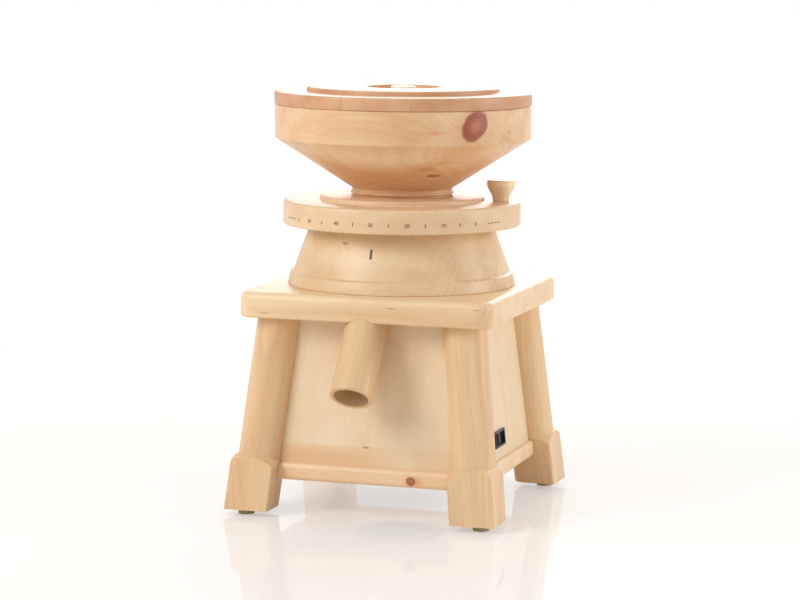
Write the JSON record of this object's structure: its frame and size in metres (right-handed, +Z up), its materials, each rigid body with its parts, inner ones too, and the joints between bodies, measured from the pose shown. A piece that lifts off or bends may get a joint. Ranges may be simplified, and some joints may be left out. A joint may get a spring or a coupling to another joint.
{
  "type": "grain mill",
  "caption": "Electric stone grain mill: a wooden hopper with an adjusting dial on a turned housing, on a four-legged stand that holds the motor and a slanted flour spout.",
  "frame": {"origin": "on the table, under the middle of the mill's outline; the axis of the mill stands 16.8 mm behind it", "axes": "+Z up along the mill's axis, -Y towards the spout at the front, +X towards the side with the switch"},
  "size_m": [0.2584, 0.2919, 0.392],
  "materials": {
    "board_pine": "oiled stone pine, planed boards with rounded edges",
    "leg_pine": "oiled stone pine, turned",
    "housing_pine": "oiled stone pine, turned",
    "dial_pine": "oiled stone pine, turned, with a printed scale",
    "bowl_pine": "oiled stone pine, turned",
    "lid_pine": "oiled stone pine, glued from strips and turned",
    "knob_wood": "oiled, turned",
    "spout_pine": "oiled stone pine, bored and turned",
    "panel_plywood": "pale softwood plywood, sanded and oiled",
    "dowel_beech": "plain beech dowel",
    "pad_felt": "pressed felt",
    "index_inlay": "dark inlaid strip",
    "steel_zinc": "zinc-plated",
    "steel_shaft": "ground",
    "bearing_steel": "polished",
    "motor_aluminium": "die-cast, satin",
    "motor_paint": "dark grey enamel",
    "lamination_steel": "stacked laminations",
    "copper_wire": "varnished winding wire",
    "black_rubber": "moulded",
    "black_plastic": "moulded",
    "rocker_plastic": "moulded, satin",
    "fan_plastic": "moulded",
    "collar_plastic": "machined acetal",
    "grille_plastic": "moulded",
    "capacitor_can": "moulded can",
    "millstone": "corundum in a ceramic bond",
    "spring_steel": "spring temper",
    "felt_seal": "pressed felt",
    "wire_sleeve": "extruded PVC insulation",
    "tinned_brass": "tinned"
  },
  "bodies": {
    "stand": {"top_board": "board_pine", "bottom_board": "board_pine", "bottom_board_dowels": "dowel_beech", "front_panel": "panel_plywood", "rear_panel": "panel_plywood", "left_panel": "panel_plywood", "right_panel": "panel_plywood", "vent_grille": "grille_plastic", "base_screws": "steel_zinc", "foot_pads": "pad_felt", "body_housing": "housing_pine", "housing_screws": "steel_zinc", "thread_ring": "collar_plastic", "thread_ring_screws": "steel_zinc", "index_mark": "index_inlay", "spout_tube": "spout_pine", "motor_plate": "steel_zinc", "rubber_mounts": "black_rubber", "mount_bolts": "steel_zinc", "motor_shell": "motor_paint", "motor_top_cover": "motor_aluminium", "motor_bottom_cover": "motor_aluminium", "motor_screws": "steel_zinc", "stator_core": "lamination_steel", "stator_windings": "copper_wire", "bearing_outer_rings": "bearing_steel", "shaft_seal": "felt_seal", "capacitor": "capacitor_can", "capacitor_clip": "black_plastic", "switch_housing": "black_plastic", "power_inlet": "black_plastic", "inlet_pins": "tinned_brass", "inlet_screws": "steel_zinc", "leg_front_left": "leg_pine", "leg_front_right": "leg_pine", "leg_rear_left": "leg_pine", "leg_rear_right": "leg_pine", "wave_spring": "spring_steel", "wiring": "wire_sleeve"},
    "spindle": {"motor_shaft": "steel_shaft", "rotor": "lamination_steel", "bearing_inner_rings": "bearing_steel", "bearing_balls": "bearing_steel", "cooling_fan": "fan_plastic", "stone_carrier": "motor_aluminium", "lower_stone": "millstone", "spindle_nut": "steel_zinc"},
    "friction_ring": {"friction_ring": "collar_plastic"},
    "hopper_unit": {"dial": "dial_pine", "stone_holder": "collar_plastic", "holder_screws": "steel_zinc", "upper_stone": "millstone", "hopper_bowl": "bowl_pine", "bowl_screws": "steel_zinc", "dial_knob": "knob_wood", "knob_screw": "steel_zinc"},
    "lid": {"lid": "lid_pine", "lid_knob": "knob_wood", "lid_knob_screw": "steel_zinc"},
    "rocker": {"switch_rocker": "rocker_plastic"}
  },
  "joints": [
    {"name": "motor_spin", "type": "hinge", "parent": "stand", "child": "spindle", "pos_m": [0, 0.01678, 0.2065], "axis": [0, 0, 1], "continuous": true},
    {"name": "dial_rise", "type": "slide", "parent": "stand", "child": "friction_ring", "axis": [0, 0, 1], "range_m": [-0.0006, 0.0005], "deforming": ["wave_spring"]},
    {"name": "dial_turn", "type": "hinge", "parent": "friction_ring", "child": "hopper_unit", "pos_m": [0, 0.01678, 0.2627], "axis": [0, 0, 1], "range_deg": [-60, 45]},
    {"name": "lid_lift", "type": "slide", "parent": "hopper_unit", "child": "lid", "axis": [0, 0, 1], "range_m": [0, 0.08]},
    {"name": "switch_rock", "type": "hinge", "parent": "stand", "child": "rocker", "pos_m": [0.09922, -0.00022, 0.06673], "axis": [-0.1074, 0, 0.9942], "range_deg": [-16, 0]}
  ],
  "couplings": [
    {"joint": "dial_rise", "follows": "dial_turn", "m_per_rad": 0.00047746}
  ]
}
